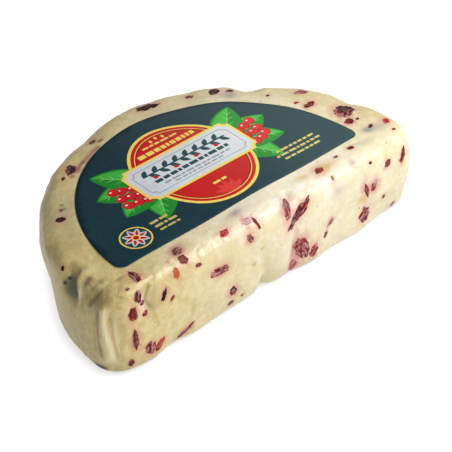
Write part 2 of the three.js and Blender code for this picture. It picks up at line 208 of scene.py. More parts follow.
# Points and outward directions of the wheel's skin: rows of the profile (base, foot arc, wall, edge arc and
# top), each carried round the plan outline. For each part of the profile the table holds how far its rows are
# set in from the outline, their height, their shrinking towards the middle, and how far they face upwards.
def wheelSkin():
    bulge, height, foot, quarter = wheel["bulge"], wheel["height"], wheel["foot"], np.pi / 2
    rows = wheel["rows"]
    x, y, nx, ny = halfDisc(wheel["width"] / 2 - bulge, wheel["depth"] - 2 * bulge, wheel["corner"],
                            wheel["around"], wheel["crowding"])
    y = y - wheel["depth"] / 2 + bulge
    edge = wheel["rimEdge"] + (wheel["cutEdge"] - wheel["rimEdge"]) * smoothStep(0, -0.95, ny)
    share = {part: (np.arange(count) / count)[:, None] for part, count in rows.items()}
    footTilt, edgeTilt = quarter * (share["foot"] - 1), quarter * share["edge"]
    profile = {
        "base": (foot, 0, share["base"] + 0.5 / rows["base"], 0),
        "foot": (foot * (1 - np.cos(footTilt)), foot * (1 + np.sin(footTilt)), 1, 0),
        "wall": (0, foot + (height - edge - foot) * share["wall"], 1, 0),
        "edge": (edge * (1 - np.cos(edgeTilt)), height - edge * (1 - np.sin(edgeTilt)), 1, edgeTilt),
        "top": (edge, height, 1 - share["top"], quarter),
    }
    parts = []
    for part, count in rows.items():
        parts.append([np.broadcast_to(column, (count, len(x))) for column in profile[part]])
    inset, rise, shrink, tilt = (np.concatenate(column) for column in zip(*parts))
    midX, midY = wheel["middle"]
    plan = [midX + (x - nx * inset - midX) * shrink, midY + (y - ny * inset - midY) * shrink]
    points = np.stack([*plan, rise], axis=-1)
    flatOut = np.where(tilt > 0, np.cos(tilt), shrink)
    out = np.stack([nx * flatOut, ny * flatOut, np.sin(tilt)], axis=-1)
    return points, out


# The solids are centred on their box, so the label's solid says how far the wheel was moved.
paper = {"width": 162, "depth": 87, "corner": 5, "shift": (-4.2, -44.0), "thickness": 0.22, "gap": 0.12}
labelLow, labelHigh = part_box("label")
labelMiddle = (labelLow + labelHigh) / 2 / mm
shiftX, shiftY = paper["shift"]
moved = np.array([labelMiddle.x - shiftX, labelMiddle.y - shiftY - paper["depth"] / 2, 0.0])


def placed(points):
    return (points + moved) * mm


def newPiece(name, points, faces, materials):
    mesh = bpy.data.meshes.new(name)
    mesh.from_pydata(points.tolist(), [], faces)
    mesh.update()
    mesh.polygons.foreach_set("use_smooth", [True] * len(mesh.polygons))
    for material in materials:
        mesh.materials.append(material)
    piece = bpy.data.objects.new(name, mesh)
    bpy.context.scene.collection.objects.link(piece)
    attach(piece, "root")
    return piece


# Each layer holds one value a point, or three for a place, or four for a colour.
def addAttributes(piece, **layers):
    kinds = {1: ("FLOAT", "value"), 3: ("FLOAT_VECTOR", "vector"), 4: ("FLOAT_COLOR", "color")}
    for name, values in layers.items():
        kind, field = kinds[1 if values.ndim == 1 else values.shape[1]]
        layer = piece.data.attributes.new(name, kind, "POINT")
        layer.data.foreach_set(field, values.astype(np.float32).ravel())


# Four-sided faces of a grid that closes round its columns, with a fan of triangles at each end.
def closedFaces(rows, columns, start=0):
    index = np.arange(rows * columns).reshape(rows, columns) + start + 1
    right = np.roll(index, -1, axis=1)
    quads = np.stack([index[:-1], right[:-1], right[1:], index[1:]], axis=-1).reshape(-1, 4)
    last = start + rows * columns + 1
    first = np.stack([np.full(columns, start), right[0], index[0]], axis=-1)
    end = np.stack([np.full(columns, last), index[-1], right[-1]], axis=-1)
    return quads.tolist() + first.tolist() + end.tolist()


# Shader building: one small class keeps the trees short to write.
class Shader:
    def __init__(self, tree):
        self.tree = tree

    def node(self, kind, inputs=None, **settings):
        made = self.tree.nodes.new(kind)
        for name, value in settings.items():
            setattr(made, name, value)
        for name, value in (inputs or {}).items():
            self.feed(made, name, value)
        return made

    def feed(self, node, name, value):
        socket = node.inputs[name]
        if isinstance(value, bpy.types.NodeSocket):
            self.tree.links.new(value, socket)
        else:
            socket.default_value = value

    def mix(self, factor, a, b):
        made = self.node("ShaderNodeMix", data_type="RGBA", blend_type="MIX")
        for index, value in ((0, factor), (6, a), (7, b)):
            self.feed(made, index, value)
        return made.outputs[2]

    def math(self, operation, a, b=0.0, clamp=False):
        made = self.node("ShaderNodeMath", operation=operation, use_clamp=clamp)
        self.feed(made, 0, a)
        self.feed(made, 1, b)
        return made.outputs[0]

    def times(self, a, b):
        return self.math("MULTIPLY", a, b)

    def plus(self, a, b, clamp=False):
        return self.math("ADD", a, b, clamp)

    # One less a value.
    def rest(self, value, clamp=False):
        return self.math("SUBTRACT", 1.0, value, clamp)

    def ramp(self, value, low, high):
        made = self.node("ShaderNodeMapRange", interpolation_type="SMOOTHSTEP")
        for name, item in (("Value", value), ("From Min", low), ("From Max", high)):
            self.feed(made, name, item)
        return made.outputs["Result"]

    def noise(self, vector, scale, detail=3.0, roughness=0.55, distortion=0.0):
        settings = {"Vector": vector, "Scale": scale, "Detail": detail, "Roughness": roughness,
                    "Distortion": distortion}
        return self.node("ShaderNodeTexNoise", settings).outputs["Fac"]

    # Thin lines where a noise passes through its middle value.
    def threads(self, vector, scale, width, distortion):
        off = self.math("SUBTRACT", self.noise(vector, scale, 2.0, 0.5, distortion), 0.5)
        return self.rest(self.ramp(self.math("ABSOLUTE", off), 0.0, width))

    # Round dots of a given share of their cell, in only some of the cells.
    def dots(self, vector, scale, size, share):
        cells = self.node("ShaderNodeTexVoronoi", {"Vector": vector, "Scale": scale, "Randomness": 1.0})
        dot = self.rest(self.ramp(cells.outputs["Distance"], size * 0.6, size))
        pick = self.node("ShaderNodeSeparateColor", {"Color": cells.outputs["Color"]}).outputs["Red"]
        return self.times(dot, self.math("LESS_THAN", pick, share))

    def stretched(self, vector, scale, turn):
        settings = {"Vector": vector, "Scale": scale, "Rotation": turn}
        return self.node("ShaderNodeMapping", settings).outputs["Vector"]

    def place(self):
        return self.node("ShaderNodeTexCoord").outputs["Object"]

    def attribute(self, name, output="Fac"):
        return self.node("ShaderNodeAttribute", attribute_name=name).outputs[output]


def colour(red, green, blue):  # from screen values 0 to 255 to linear light
    screen = np.array([red, green, blue]) / 255
    linear = np.where(screen <= 0.04045, screen / 12.92, ((screen + 0.055) / 1.055) ** 2.4)
    return (*linear.tolist(), 1.0)


def newMaterial(name, fixed):
    material = bpy.data.materials.new(name)
    material.use_nodes = True
    shader = Shader(material.node_tree)
    surface = material.node_tree.nodes["Principled BSDF"]
    for socket, value in fixed.items():
        surface.inputs[socket].default_value = value
    return material, shader, surface


# Shared group: the small creases and prickle that tight film leaves on whatever lies under it.
def buildFilmGroup():
    tree = bpy.data.node_groups.new("filmCreases", "ShaderNodeTree")
    tree.interface.new_socket("Creasing", in_out="INPUT", socket_type="NodeSocketFloat")
    tree.interface.new_socket("Prickle", in_out="INPUT", socket_type="NodeSocketFloat")
    tree.interface.new_socket("Height", in_out="OUTPUT", socket_type="NodeSocketFloat")
    shader = Shader(tree)
    given, made = tree.nodes.new("NodeGroupInput"), tree.nodes.new("NodeGroupOutput")
    place = shader.place()
    ridge = shader.threads(shader.stretched(place, (1.0, 1.0, 0.3), (0.2, 0.5, 0.4)), 110.0, 0.05, 1.2)
    dimples = shader.noise(place, 150.0, 2.0, 0.5)
    folds = shader.plus(ridge, shader.times(dimples, 2.2))
    fine = shader.noise(place, 900.0, 2.0)
    height = shader.plus(shader.times(folds, given.outputs["Creasing"]),
                         shader.times(fine, given.outputs["Prickle"]))
    tree.links.new(height, made.inputs["Height"])
    return tree


filmCreases = buildFilmGroup()


# Bumps of the film over a material's own grain.
def wrap(shader, surface, creasing, prickle, distance, grain):
    group = shader.node("ShaderNodeGroup", node_tree=filmCreases)
    shader.feed(group, "Creasing", creasing)
    shader.feed(group, "Prickle", prickle)
    height = shader.plus(group.outputs["Height"], grain)
    bump = shader.node("ShaderNodeBump", {"Height": height, "Strength": 1.0, "Distance": distance})
    shader.feed(surface, "Normal", bump.outputs["Normal"])


# The whitish tone is a painted sheen of the film; the rind tones are the rind's own tan and also painted
# shade away from the light.
cheeseColours = {
    "cream": (246, 233, 193), "curd": (252, 243, 217), "butter": (240, 221, 168),
    "rind": (220, 199, 132), "rindCurd": (234, 215, 152), "rindDull": (200, 180, 116),
    "bloom": (252, 245, 230), "olive": (186, 168, 104), "speck": (136, 98, 58), "juice": (216, 112, 112),
}
cheeseLook = {
    # shares of dull patches, light curds, light crumbs and dull crumbs
    "insideShares": (0.7, 0.45, 0.6, 0.55), "outsideShares": (0.7, 0.5, 0.5, 0.4),
    "streaks": 0.45, "specks": 0.75, "freckles": 0.5,
    "roughness": 0.3, "curdRoughness": 0.12,
    "grain": 0.85, "creasing": 0.2, "puckering": 0.55, "prickle": 0.12, "bumps": 0.00024,  # metres
}


def cheeseMaterial():
    look = cheeseLook
    ink = {name: colour(*screen) for name, screen in cheeseColours.items()}
    fixed = {"Coat Weight": 0.15, "Coat Roughness": 0.1, "Coat IOR": 1.45, "Subsurface Weight": 0.2,
             "Subsurface Scale": 0.003, "Subsurface Radius": (1.0, 0.75, 0.4)}
    material, shader, surface = newMaterial("cheese", fixed)
    place = shader.place()
    patches = shader.ramp(shader.noise(place, 42.0, 3.0), 0.36, 0.64)
    curds = shader.ramp(shader.noise(place, 150.0, 4.0, 0.62), 0.46, 0.66)
    crumbly = shader.noise(place, 270.0, 4.0, 0.62)
    masks = (patches, curds, shader.ramp(crumbly, 0.5, 0.62), shader.ramp(crumbly, 0.5, 0.36))

    def mottled(base, light, dull, shares):
        tone = ink[base]
        for mask, share, name in zip(masks, shares, (dull, light, light, dull)):
            tone = shader.mix(shader.times(mask, share), tone, ink[name])
        return tone

    inside = mottled("cream", "curd", "butter", look["insideShares"])
    outside = mottled("rind", "rindCurd", "rindDull", look["outsideShares"])
    # The outside tone: the rind's own tan, and also painted shade, deeper away from the light.
    tone = shader.mix(shader.attribute("rind"), inside, outside)
    # Painted sheen: the film's whitish highlight on the front strip of the top and right of the middle.
    tone = shader.mix(shader.attribute("bloom"), tone, ink["bloom"])
    streaky = shader.noise(shader.stretched(place, (1.0, 1.0, 0.5), (0.3, 0.4, 0.0)), 190.0, 2.0)
    ragged = shader.noise(place, 260.0, 3.0, 0.6)
    layers = (
        (shader.times(shader.ramp(streaky, 0.7, 0.78), look["streaks"]), ink["olive"]),
        (shader.times(shader.dots(place, 120.0, 0.085, 0.3), look["specks"]), ink["speck"]),
        (shader.times(shader.dots(place, 260.0, 0.16, 0.16), look["freckles"]), ink["olive"]),
        (shader.times(shader.attribute("stain"), shader.ramp(ragged, 0.28, 0.6)), ink["juice"]),
        # Patches and strokes: the cheese's own marks, with painted shade and painted highlights among them.
        (shader.times(shader.attribute("smudge"), shader.ramp(ragged, 0.1, 0.4)),
         shader.attribute("smudgeColour", "Color")),
    )
    for cover, over in layers:
        tone = shader.mix(cover, tone, over)
    shader.feed(surface, "Base Color", tone)
    shader.feed(surface, "Roughness",
                shader.plus(look["roughness"], shader.times(curds, look["curdRoughness"])))
    grain = shader.times(shader.noise(place, 420.0, 4.0, 0.6), look["grain"])
    pucker = shader.plus(look["creasing"], shader.times(shader.attribute("pucker"), look["puckering"]))
    wrap(shader, surface, pucker, look["prickle"], look["bumps"], grain)
    return material


# Patches painted on the cheese under the film: its own bruises, specks, olive marks and pink juice, and,
# where marked, painted shade and painted highlights.
# Where, reach along each axis, colour, strength and edge. The higher the edge, the sharper the patch ends.
smudges = [
    # The next two: painted shade in the deep pit, tinted grey-green.
    ((-104.3, -30.2, 38.6), (7, 6.4, 6.4), (116, 124, 98), 0.97, 6),
    ((-105.5, -33.4, 37), (3, 2.4, 5), (88, 98, 80), 0.8, 4),
    ((-99.8, -31.5, 44.6), (3.2, 3, 3), (128, 98, 60), 0.85, 4),
    ((-104.9, -24.5, 37.5), (9, 1.2, 1.1), (14, 18, 24), 1.0, 5),
    ((-104.3, -26, 40), (9, 0.9, 0.8), (50, 36, 36), 1.0, 5),
    # The next two: painted shade in the shallow hollow at the left corner, olive.
    ((-103.4, -47.5, 42.6), (6, 5, 4.6), (146, 134, 88), 0.85, 2),
    ((-104, -46.5, 41), (2.5, 2, 2.5), (112, 112, 78), 0.6, 2),
    ((-101, -52.5, 43), (5, 3.5, 4), (166, 136, 78), 0.6, 2),
    ((-100.1, -39.6, 45.8), (2.6, 2.6, 2.6), (150, 116, 78), 0.85, 2),
    # The next three: painted highlights where the pleats of the left corner and the pit's lip catch the
    # light.
    ((-102.4, -57.4, 13), (3, 2.4, 7), (250, 236, 196), 0.8, 2),
    ((-104.8, -37.6, 38), (3, 1.5, 8), (246, 234, 196), 0.9, 3),
    ((-101.2, -58.4, 25), (2.5, 1.4, 11), (246, 230, 180), 0.8, 3),
    ((-98.6, -38, 46), (1.6, 1.6, 2), (128, 84, 62), 0.8, 3),
    ((-96, -43, 46), (1.5, 1.5, 2), (150, 116, 86), 0.7, 3),
    ((-89, -48, 46.2), (2, 1.5, 2), (170, 140, 110), 0.6, 3),
    ((-105.5, -45.5, 38.5), (4, 1.3, 1.6), (100, 92, 70), 0.7, 3),
    ((-86.8, -60.5, 38), (2.2, 3, 6), (252, 220, 206), 0.7, 3),
    # Painted shadow: a dark patch in the shaded gap at the foot of the left corner.
    ((-105.4, -50.6, 2.2), (2.8, 4.8, 2.6), (30, 18, 14), 1.0, 4),
    ((-90, -13, 45.6), (6, 9, 6), (190, 162, 110), 0.45, 2),
    ((83.5, -43.6, 46.4), (3.4, 2.6, 3), (112, 126, 140), 0.85, 2),
    ((90, -45, 46), (6, 3, 4), (176, 164, 168), 0.55, 2),
    ((53, 29.5, 46.5), (5, 4, 4), (150, 128, 136), 0.7, 2),
    ((-17, -48.5, 46.5), (5, 2.5, 4), (160, 130, 128), 0.7, 2),
    # Painted shade in the crease of the flap on the cut face.
    ((-81, -61, 35), (3.8, 5, 6.5), (176, 160, 112), 0.6, 2),
    # The next two: painted shade, the top darker on its left and along its far edge.
    ((-75, 8, 46.7), (14, 18, 6), (180, 172, 134), 0.55, 2),
    ((30, 43, 46.7), (30, 8, 6), (206, 192, 148), 0.5, 2),
    ((-25, 45, 46.5), (2.2, 1.2, 3), (70, 40, 44), 0.9, 4),
    ((-51, 32.4, 46.7), (3.4, 2.4, 3), (148, 58, 58), 0.85, 3),
    ((-55.8, 29.2, 46.7), (1.5, 1.2, 3), (110, 50, 56), 0.8, 3),
    ((-75.6, 11.1, 46.6), (1.0, 1.0, 2), (62, 66, 66), 0.9, 4),
    ((-74, 14.2, 46.6), (0.9, 0.9, 2), (62, 66, 66), 0.9, 4),
    ((42.3, -61.4, 36.8), (4.5, 4, 4.5), (212, 196, 194), 0.5, 2),
    ((57.2, -57.1, 44.2), (1.9, 3, 1.7), (182, 160, 160), 0.75, 2),
    ((-16.2, -62.3, 22.2), (1.1, 3, 1.3), (172, 152, 98), 0.8, 3),
    ((-11.1, -62.2, 29.2), (0.9, 3, 0.9), (190, 150, 118), 0.75, 3),
    ((-64.8, -53.7, 45.8), (1.3, 1.3, 2), (204, 142, 116), 0.8, 2),
    # The next three: painted highlights of the film on the front edge of the top and the cut face below it.
    ((5.3, -54.4, 45.7), (4, 2, 3), (255, 252, 240), 0.8, 2),
    ((22.1, -54.4, 45.7), (4, 2, 3), (255, 252, 240), 0.8, 2),
    ((35.2, -60.8, 39.5), (2.6, 3, 3.4), (255, 252, 242), 0.7, 2),
    ((44, -51.5, 46), (7, 3, 4), (226, 186, 104), 0.75, 2),
    ((29, -50, 46.4), (4, 2, 3), (222, 176, 96), 0.6, 2),
    ((72, -50, 46.4), (7, 2.6, 3), (196, 184, 150), 0.6, 2),
    ((-56, -50, 46.5), (5, 3, 3), (150, 112, 122), 0.7, 2),
    ((61, -62, 22), (3.2, 4, 2.6), (236, 196, 104), 0.8, 2),
    ((-57, -62, 19), (1.5, 4, 4.5), (196, 174, 96), 0.75, 2),
    ((-62, -62, 27), (2.4, 4, 3), (206, 184, 116), 0.6, 2),
    ((11.5, -60, 22), (2.6, 6, 20), (250, 214, 206), 0.6, 2),
    ((12, -61, 9), (4.5, 6, 9), (234, 150, 150), 0.6, 2),
    ((8, -60, 39), (5, 5, 8), (236, 176, 172), 0.7, 2),
    ((-2, -61, 5), (7, 6, 6), (240, 220, 160), 0.6, 2),
]

# Thin strokes of colour from point to point: half width, colour and strength. Along the creases at the left
# corner and the flap they are painted shade, along the pleat's ridge painted highlights, and by the label's
# edge red juice.
strokes = [
    # The next two: painted shade in the valleys beside the pleat at the left corner, ochre.
    ([(-105.4, -51.2, 37), (-106.2, -52.1, 28), (-105.4, -53.4, 13)], 1.2, (154, 118, 56), 0.9),
    ([(-102.3, -57.2, 36), (-102.3, -58, 24), (-101, -58.8, 12)], 0.9, (186, 152, 86), 0.8),
    # The next two: painted highlights along the pleat's ridge.
    ([(-103.9, -53.8, 38.8), (-104.2, -55.6, 28), (-102.2, -57.6, 12)], 1.4, (255, 240, 190), 1.0),
    ([(-104.3, -55.1, 33), (-104.1, -55.9, 24)], 0.5, (255, 253, 240), 0.9),
    # The next two: painted shade along the crease of the flap.
    ([(-79.9, -58.4, 43.8), (-84.4, -61, 39.2), (-81.9, -61.5, 33)], 1.1, (140, 126, 78), 0.8),
    ([(-81.9, -61.5, 33), (-78.4, -62, 21)], 0.8, (190, 160, 92), 0.75),
    ([(-44, 34.6, 46.6), (-37, 38.2, 46.6), (-30, 41, 46.6)], 1.6, (168, 84, 90), 0.8),
    ([(-48, 33.2, 46.7), (-44, 35.4, 46.6)], 1.0, (106, 48, 56), 0.8),
]
strokeEdge = 2.5  # the same for all strokes


# Later patches are painted over earlier ones, and strokes over patches, marks, painted shade and painted
# highlights alike.
def paintSmudges(points):
    layers = []
    for at, reach, tint, strong, edge in smudges:
        layers.append((tint, strong * np.exp(-farFrom(points, at, reach) ** (edge / 2))))
    for through, reach, tint, strong in strokes:
        turns, _ = ontoSkin(np.array(through, float), nearby["stroke"])
        far = np.min([distanceToLine(points, a, b) for a, b in zip(turns, turns[1:])], axis=0) / reach
        layers.append((tint, strong * np.exp(-far ** strokeEdge)))
    strength, paint = np.zeros(len(points)), np.zeros((len(points), 3))
    for tint, amount in layers:
        paint = paint * (1 - amount)[:, None] + amount[:, None] * np.array(colour(*tint)[:3])
        strength = strength * (1 - amount) + amount
    paint /= np.maximum(strength, 1e-9)[:, None]
    return strength, np.column_stack([paint, np.ones(len(points))])


# The cheese's outer skin is tanner than its cut face, and the same tan also serves as painted shade: full on
# the rim, fainter to the right towards the light, and fading in along the cut face to the left, away from it.
# Pairs say where a smooth step begins and ends.
rind = {"share": 0.95, "behind": (-54, -42), "disc": (0, -47, 107), "outward": (0.72, 0.95),
        "right": (0, 80), "fainter": 0.45, "left": (12, -95), "corner": (-92, -103)}
# Painted sheen of the film: whitish on the strip in front of the label, and faintly right of the middle.
bloom = {"strip": 0.35, "height": (40, 45), "front": (-40, -46), "stripFrom": (-90, -10),
         "stripTo": (110, 40), "middle": 0.15, "middleFrom": (-30, 20), "middleTo": (90, 50)}
# Where the film puckers: round the left corner, along the front edge of the top, and in the crease of the cut
# face. Where, reach along each axis, and strength.
pucker = [
    ((-106, -46, 0), (16, 24, math.inf), 1.0),
    ((0, -58, 44), (math.inf, 6, 4), 0.7),
    ((11, -62, 0), (6, math.inf, math.inf), 0.5),
]
cutFace = -50  # what lies in front of it belongs to the cut face


def rindShare(points):
    x, y = points[:, 0], points[:, 1]
    midX, midY, radius = rind["disc"]
    outward = np.hypot((x - midX) / radius, (y - midY) / radius)
    onRim = smoothStep(*rind["behind"], y) * smoothStep(*rind["outward"], outward)
    onRim = onRim * (1 - rind["fainter"] * smoothStep(*rind["right"], x))
    onLeft = np.maximum(smoothStep(*rind["left"], x), smoothStep(*rind["corner"], x))
    return np.maximum(onRim, onLeft) * rind["share"]


# How strongly the painted sheen covers each point.
def bloomShare(points):
    x, y, z = points[:, 0], points[:, 1], points[:, 2]
    strip = smoothStep(*bloom["height"], z) * smoothStep(*bloom["front"], y)
    strip = strip * smoothStep(*bloom["stripFrom"], x) * smoothStep(*bloom["stripTo"], x)
    middle = smoothStep(*bloom["middleFrom"], x) * smoothStep(*bloom["middleTo"], x)
    return bloom["strip"] * strip + bloom["middle"] * middle


def puckerShare(points):
    corner, edge, crease = (strong * np.exp(-farFrom(points, at, reach)) for at, reach, strong in pucker)
    return np.clip(corner + edge + crease * (points[:, 1] < cutFace), 0, 1)


# Grain and height of the skin's fine unevenness. Then the film's small pleats round the left corner: squeezed
# upwards, so that they run up and down.
fineRelief = {"lumps": (19.0, 0.16), "curds": (6.5, 0.06), "grit": (3.2, 0.035)}
upright = {"grain": 4.5, "height": 0.28, "squeeze": (1, 1, 0.12),
           "at": (-104, -52, 0), "reach": (14, 16, math.inf)}


# 1 under the label, where the skin stays smooth, and 0 a little way outside it.
def underLabel(points):
    u, v = points[..., 0] - shiftX, points[..., 1] - shiftY
    half = paper["width"] / 2
    inward = (1 - np.hypot(u / half, (v - paper["corner"]) / (paper["depth"] - paper["corner"]))) * half
    return smoothStep(-3, 1, np.minimum(v, inward)) * (points[..., 2] > wheel["height"] - 1)


# The wheel's skin in full: the solid's surface, plus soft lumps, curds, grit, the finer folds and the small
# upright pleats.
def cheeseSurface():
    points, out = wheelSkin()
    rowCount, columns = points.shape[:2]
    lift = relief(points)
    above = smoothStep(0, 4, points[..., 2]) * (1 - underLabel(points))
    for number, (grain, height) in enumerate(fineRelief.values()):
        lift += above * height * ripples(points, grain, 24, 3 + 2 * number)
    lift += above * creased(points, pleats)
    corner = np.exp(-farFrom(points, upright["at"], upright["reach"]))
    lift += above * corner * upright["height"] * ripples(points * upright["squeeze"], upright["grain"], 18, 8)
    points = points + out * lift[..., None]
    middle = np.array([*wheel["middle"], 0.0])
    top = points[-1].mean(axis=0)
    flat = np.concatenate([[middle], points.reshape(-1, 3), [top]])
    out = out / np.maximum(np.linalg.norm(out, axis=-1, keepdims=True), 1e-6)
    out[points[..., 2] < 0.01] = (0, 0, -1)
    return flat, out.reshape(-1, 3), rowCount, columns


skinPoints, skinOut, skinRows, skinColumns = cheeseSurface()
raised = skinPoints[1:-1, 2] > 0.5
spots, spotsOut = skinPoints[1:-1][raised], skinOut[raised]
# Radius of the skin looked at round a point, round a stroke, and beyond the end of a lump, and its softness.
nearby = {"point": 9, "stroke": 30, "lump": 7, "blend": 2.0}


# Brings points on to the skin: a mean over the skin's own points nearby, weighed by how near they are.
def ontoSkin(targets, reach):
    middle = targets.mean(axis=0)
    near = np.linalg.norm(spots - middle, axis=1) < reach
    base, baseOut = spots[near], spotsOut[near]
    gap = ((targets[:, None] - base[None]) ** 2).sum(axis=-1)
    weight = np.exp(-(gap - gap.min(axis=1, keepdims=True)) / nearby["blend"])
    weight /= weight.sum(axis=1, keepdims=True)
    out = weight @ baseOut
    out /= np.linalg.norm(out, axis=1, keepdims=True)
    toward = targets[:, None] - base[None]
    off = (weight * (toward * (baseOut[None] + out[:, None])).sum(axis=-1) / 2).sum(axis=1)
    return targets - out * off[:, None], out


# How far a lump stands out, its depth as a share of its width, its wrinkles, its ragged edge, and how much
# fuller than its solid it is, to make up for the chords of its outline. Its grain is drawn out along it.
fruit = {"proud": 0.3, "depth": 0.4, "wrinkle": 0.14, "ragged": 0.035, "fullness": 1.08,
         "around": 56, "rows": 20, "seed": 100, "grain": (0.3, 1, 1)}
# Outlines of the fruit that shows most: degrees from its long way, and distance as a share of its half size.
chips = {
    "berry_01": [(25, 1.08), (70, 1.0), (110, 1.25), (150, 0.9), (180, 1.15), (205, 0.8),
                 (262, 1.15), (335, 1.08)],
    "berry_03": [(5, 1.0), (50, 1.1), (105, 0.95), (165, 0.95), (200, 1.0), (240, 1.15), (300, 1.15)],
    "berry_06": [(39, 1.1), (99, 1.15), (165, 0.95), (230, 1.25), (285, 0.9), (340, 0.8)],
    "berry_07": [(0, 1.05), (80, 0.9), (180, 1.1), (265, 1.1)],
    "berry_19": [(0, 0.9), (60, 0.85), (120, 0.85), (180, 0.9), (240, 0.85), (300, 0.85)],
    "berry_20": [(0, 1.0), (35, 1.25), (90, 0.75), (150, 1.2), (190, 1.0), (220, 1.15),
                 (275, 0.8), (325, 1.2)],
    "berry_24": [(0, 1.0), (40, 1.0), (110, 0.8), (150, 1.25), (200, 1.1), (260, 0.85), (320, 1.0)],
    "berry_27": [(0, 1.2), (55, 1.2), (110, 1.1), (170, 1.2), (225, 1.3), (290, 1.15)],
    "berry_28": [(0, 1.1), (60, 1.15), (130, 1.25), (180, 1.05), (230, 1.3), (300, 1.15)],
    "berry_29": [(10, 1.0), (52, 1.15), (95, 1.0), (140, 1.1), (185, 0.95), (235, 1.12),
                 (280, 1.0), (325, 1.12)],
}


# An angular outline: corners at uneven angles and distances, with straight chords between them, slightly
# rounded, and a little raggedness of higher waves.
def chippedOutline(angle, rng, chipped):
    corners = rng.integers(5, 8)
    at = (np.arange(corners) + rng.uniform(-0.28, 0.28, corners)) * 2 * np.pi / corners
    reach = rng.uniform(0.84, 1.14, corners)
    if chipped:
        corners = len(chipped)
        at, reach = np.radians([corner[0] for corner in chipped]), np.array([corner[1] for corner in chipped])
    first = (np.searchsorted(at, angle, side="right") - 1) % corners
    second = (first + 1) % corners
    before = (angle - at[first]) % (2 * np.pi)
    wide = (at[second] - at[first]) % (2 * np.pi)
    edge = reach[first] * reach[second] * np.sin(wide)
    edge /= reach[first] * np.sin(before) + reach[second] * np.sin(wide - before)
    edge = (np.roll(edge, 1) + 2 * edge + np.roll(edge, -1)) / 4
    for lobes in range(5, 13):
        high = fruit["ragged"] * rng.normal() / math.sqrt(lobes / 5)
        edge = edge + high * np.sin(lobes * angle + rng.uniform(0, 6.3))
    return edge * fruit["fullness"]


# A flattened lump of dried fruit lying in the skin. Going down from its crown (t = 0) to its underside
# (t = pi), it is about sin t wide and cos t high, flattened on top; wrinkles run across its crown.
def fruitLump(spot, number, sizes, wrinkle=1.0, chipped=None):
    seed = sizes["seed"] + number
    rng = np.random.default_rng(seed)
    t = np.linspace(0, np.pi, sizes["rows"] + 2)[1:-1, None]
    angle = np.linspace(0, 2 * np.pi, sizes["around"], endpoint=False)
    edge = chippedOutline(angle, rng, chipped)[None]
    angle = angle[None]
    wide = np.sin(t) ** 0.75
    across = spot["length"] / 2 * wide * edge * np.cos(angle)
    along = spot["width"] / 2 * wide * edge * np.sin(angle)
    crown = fruit["proud"] * np.abs(np.cos(t)) ** 0.6
    high = np.where(t < np.pi / 2, crown, fruit["depth"] * spot["width"] * np.cos(t)) + 0 * angle
    local = np.stack([across, along, 0 * across], axis=-1)
    fine = ripples(local * np.array([0.6, 1.25, 1]), 2.3, 14, seed + 1)
    small = ripples(local, 1.2, 14, seed + 2)
    rough = wrinkle * fruit["wrinkle"] * (fine + 0.35 * small)
    high = high + rough * np.sin(t) ** 0.4 * np.clip(np.cos(t), 0, 1)
    ends = np.array([[0, 0, fruit["proud"]], [0, 0, -fruit["depth"] * spot["width"]]])
    flat = np.concatenate([ends[:1], np.stack([across, along, high], axis=-1).reshape(-1, 3), ends[1:]])
    target = spot["at"] + flat[:, :1] * spot["long"] + flat[:, 1:2] * spot["wide"]
    surface, out = ontoSkin(target, spot["length"] / 2 + nearby["lump"])
    hollow = np.concatenate([[0], (np.clip(-fine, 0, 2) + 0 * angle).ravel(), [0]])
    grain = flat * fruit["grain"] + [0, 0, 7.3 * seed]
    return surface + out * flat[:, 2:], hollow, grain


# The skin's axes at a place: the long way is turned by so many degrees from level, or from +X on the top.
def axesAt(at, turn):
    at, out = (found[0] for found in ontoSkin(np.array([at], float), nearby["point"]))
    side = np.array([0.0, 1, 0]) if abs(out[0]) > 0.9 else np.array([1.0, 0, 0])
    across = np.cross(out, side)
    across /= np.linalg.norm(across)
    along = np.cross(across, out)
    long = along * math.cos(math.radians(turn)) + across * math.sin(math.radians(turn))
    return {"at": at, "long": long, "wide": np.cross(out, long), "out": out}


# A berry's place, direction and size, read from its solid: the long way is the widest spread across the skin.
def berrySpot(node):
    mesh = frame["nodes"][node].data
    corners = np.zeros(len(mesh.vertices) * 3)
    mesh.vertices.foreach_get("co", corners)
    corners = np.unique(np.round(corners.reshape(-1, 3) / mm - moved, 3), axis=0)
    middle = (corners.min(axis=0) + corners.max(axis=0)) / 2
    spot = axesAt(middle, 0)
    away = corners - spot["at"]
    flat = np.stack([away @ spot["long"], away @ spot["wide"]], axis=1)
    _, ways = np.linalg.eigh(np.cov(flat.T))
    turned = flat @ ways
    size = np.ptp(turned, axis=0)
    long, wide = ways[:, 1], ways[:, 0]
    if size[0] > size[1]:
        size, long, wide = size[::-1], wide, long
    mid = ways @ ((turned.min(axis=0) + turned.max(axis=0)) / 2)
    at = spot["at"] + mid[0] * spot["long"] + mid[1] * spot["wide"]
    longWay = long[0] * spot["long"] + long[1] * spot["wide"]
    at, out = (found[0] for found in ontoSkin(at[None], nearby["point"]))
    return {"at": at, "long": longWay, "wide": np.cross(out, longWay), "out": out,
            "length": size[1], "width": size[0]}


slotOf = {part["node"]: part["material_slot"] for part in frame["record"]["subparts"]}
berryNodes = sorted(node for node in frame["nodes"] if node.startswith("berry_"))
berrySpots = {node: berrySpot(node) for node in berryNodes}

